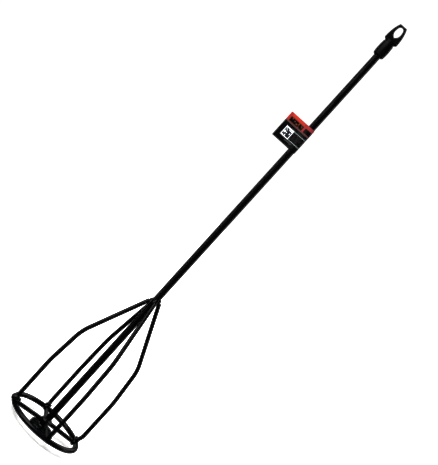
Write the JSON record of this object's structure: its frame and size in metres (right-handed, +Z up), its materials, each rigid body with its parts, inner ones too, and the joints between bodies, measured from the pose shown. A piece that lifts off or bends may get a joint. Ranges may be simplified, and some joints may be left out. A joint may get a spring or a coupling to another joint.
{
  "type": "drill paint mixer",
  "caption": "Cage-type paint mixer for a power drill: a long round shaft ending in bent rods welded to a ring, with a moulded hanging cap and a folded card label.",
  "frame": {"origin": "on the floor under the middle of the foot disc, at the bottom centre of the bounding box", "axes": "+Z up along the drive shaft, -Y towards the front, the label's free edge towards -X"},
  "size_m": [0.1, 0.1007, 0.6322],
  "materials": {
    "black_steel": "black stoved enamel, semi-gloss",
    "weld_metal": "weld bead under the same black enamel",
    "moulded_plastic": "moulded black polyethylene",
    "printed_card": "printed laminated card, orange-red head over black"
  },
  "bodies": {
    "mixer": {"drive_shaft": "black_steel", "foot_disc": "black_steel", "base_ring": "black_steel", "cage_rod_1": "black_steel", "spoke_1": "black_steel", "crown_weld_1": "weld_metal", "foot_weld_1": "weld_metal", "spoke_weld_1": "weld_metal", "cage_rod_2": "black_steel", "spoke_2": "black_steel", "crown_weld_2": "weld_metal", "foot_weld_2": "weld_metal", "spoke_weld_2": "weld_metal", "cage_rod_3": "black_steel", "spoke_3": "black_steel", "crown_weld_3": "weld_metal", "foot_weld_3": "weld_metal", "spoke_weld_3": "weld_metal", "cage_rod_4": "black_steel", "spoke_4": "black_steel", "crown_weld_4": "weld_metal", "foot_weld_4": "weld_metal", "spoke_weld_4": "weld_metal", "hub_weld": "weld_metal", "foot_disc_weld": "weld_metal"},
    "hanging_cap": {"hanging_cap": "moulded_plastic"},
    "label": {"label": "printed_card"}
  },
  "joints": [
    {"name": "cap_pull", "type": "slide", "parent": "mixer", "child": "hanging_cap", "axis": [0, 0, 1], "range_m": [0, 0.04]},
    {"name": "label_turn", "type": "hinge", "parent": "mixer", "child": "label", "pos_m": [0, 0, 0.46], "axis": [0, 0, 1], "continuous": true}
  ]
}
